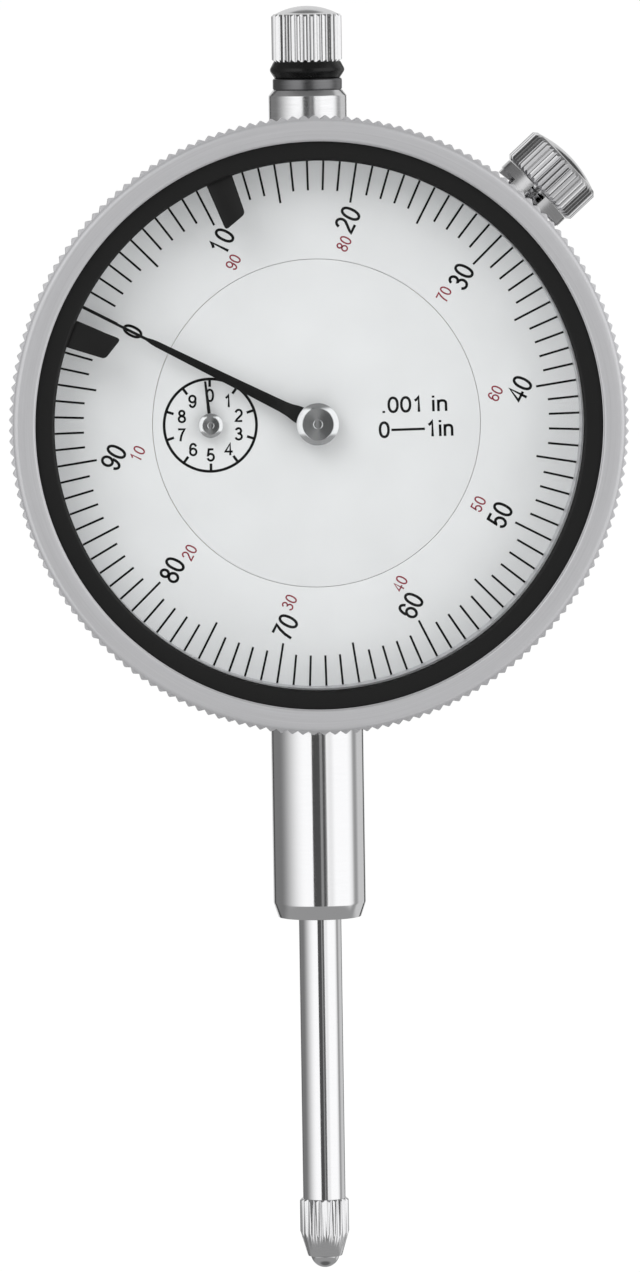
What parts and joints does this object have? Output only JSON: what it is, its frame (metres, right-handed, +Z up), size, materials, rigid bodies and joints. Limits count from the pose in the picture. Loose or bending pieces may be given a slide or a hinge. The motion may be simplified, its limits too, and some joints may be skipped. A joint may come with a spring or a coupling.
{
  "type": "dial indicator",
  "caption": "Plunger dial indicator with a turning bezel, revolution counter, tolerance markers, bezel clamp, straight stem and lug back.",
  "frame": {"origin": "on the stem axis, at the middle of the 17.6 mm of full diameter that a holder can clamp below the bezel", "axes": "+Z up the stem towards the dial, -Y the way the dial faces, +X to the right seen from the front"},
  "size_m": [0.063, 0.0373, 0.1304],
  "materials": {
    "satin_steel": "satin, turned",
    "polished_steel": "ground and polished",
    "chrome": "polished",
    "satin_chrome": "satin, circumferentially brushed",
    "brass": "machined",
    "bronze": "machined",
    "spring_steel": "bright",
    "black_enamel": "satin black",
    "dial_enamel": "matt white with black and red figures",
    "black_plastic": "fine matt black",
    "rubber": "black",
    "crystal": "clear",
    "gasket": "dark"
  },
  "bodies": {
    "case": {"case_body": "satin_chrome", "stem": "polished_steel", "stem_bushes": "bronze", "upper_sleeve": "polished_steel", "upper_bush": "satin_steel", "back_cover": "satin_chrome", "back_gasket": "gasket", "cover_screws": "satin_steel", "bezel_spring_ring": "spring_steel", "movement_rear_plate": "brass", "movement_front_plate": "brass", "plate_pillars": "brass", "plate_screws": "satin_steel", "movement_screws": "satin_steel", "pinion_bridge": "brass", "bridge_screws": "satin_steel", "inner_dial": "dial_enamel", "dial_feet": "brass", "guide_plate": "satin_steel", "guide_plate_screws": "satin_steel", "spring_post": "satin_steel", "return_spring": "spring_steel", "hairspring": "spring_steel", "hairspring_stud": "brass"},
    "plunger": {"plunger": "polished_steel", "contact_body": "satin_steel", "contact_ball": "chrome", "guide_arm": "brass", "guide_pin": "satin_steel", "arm_screw": "satin_steel", "lifting_knob": "satin_chrome", "knob_o_ring": "rubber"},
    "rack_arbor": {"rack_arbor": "satin_steel", "drive_wheel": "brass", "counter_pinion": "brass"},
    "centre_arbor": {"centre_arbor": "satin_steel", "pointer": "black_enamel", "pointer_hub": "polished_steel"},
    "takeup_arbor": {"takeup_arbor": "satin_steel", "takeup_wheel": "brass", "hairspring_collet": "brass"},
    "counter_arbor": {"counter_arbor": "satin_steel", "counter_wheel": "brass", "counter_hand": "black_enamel", "counter_hub": "polished_steel"},
    "bezel": {"bezel": "satin_chrome", "crystal": "crystal", "crystal_ring": "black_plastic", "dial_ring": "dial_enamel", "dial_retaining_ring": "spring_steel"},
    "low_marker": {"low_marker": "black_plastic"},
    "high_marker": {"high_marker": "black_plastic"},
    "clamp_shoe": {"clamp_shoe": "satin_steel"},
    "clamp_screw": {"clamp_screw": "satin_chrome"}
  },
  "joints": [
    {"name": "plunger_slide", "type": "slide", "parent": "case", "child": "plunger", "axis": [0, 0, 1], "range_m": [0, 0.026], "stiffness_N_per_m": 20, "springref_m": -0.05, "deforming": ["return_spring"]},
    {"name": "rack_arbor_turn", "type": "hinge", "parent": "case", "child": "rack_arbor", "pos_m": [-0.00332, 0, 0.0479], "axis": [0, 1, 0], "range_deg": [-930, 0]},
    {"name": "pointer_turn", "type": "hinge", "parent": "case", "child": "centre_arbor", "pos_m": [0, 0, 0.041], "axis": [0, 1, 0], "range_deg": [0, 3700]},
    {"name": "takeup_turn", "type": "hinge", "parent": "case", "child": "takeup_arbor", "pos_m": [0.00541, 0, 0.03559], "axis": [0, 1, 0], "range_deg": [-930, 0]},
    {"name": "counter_turn", "type": "hinge", "parent": "case", "child": "counter_arbor", "pos_m": [-0.01087, 0, 0.041], "axis": [0, 1, 0], "range_deg": [0, 372]},
    {"name": "bezel_turn", "type": "hinge", "parent": "case", "child": "bezel", "pos_m": [0, -0.01, 0.041], "axis": [0, 1, 0], "continuous": true},
    {"name": "low_marker_turn", "type": "hinge", "parent": "bezel", "child": "low_marker", "pos_m": [0, -0.012, 0.041], "axis": [0, 1, 0], "range_deg": [-150, 20]},
    {"name": "high_marker_turn", "type": "hinge", "parent": "bezel", "child": "high_marker", "pos_m": [0, -0.012, 0.041], "axis": [0, 1, 0], "range_deg": [-20, 150]},
    {"name": "clamp_shoe_slide", "type": "slide", "parent": "case", "child": "clamp_shoe", "axis": [0.7385, 0, 0.6743], "range_m": [0, 0.0005]},
    {"name": "clamp_screw_turn", "type": "hinge", "parent": "clamp_shoe", "child": "clamp_screw", "pos_m": [0.02322, -0.0035, 0.06437], "axis": [0.7385, 0, 0.6743], "range_deg": [0, 360]}
  ],
  "couplings": [
    {"joint": "rack_arbor_turn", "follows": "plunger_slide", "rad_per_m": -618.42},
    {"joint": "pointer_turn", "follows": "plunger_slide", "rad_per_m": 2473.7},
    {"joint": "takeup_turn", "follows": "plunger_slide", "rad_per_m": -618.42},
    {"joint": "counter_turn", "follows": "plunger_slide", "rad_per_m": 247.37},
    {"joint": "clamp_screw_turn", "follows": "clamp_shoe_slide", "rad_per_m": 12566}
  ]
}
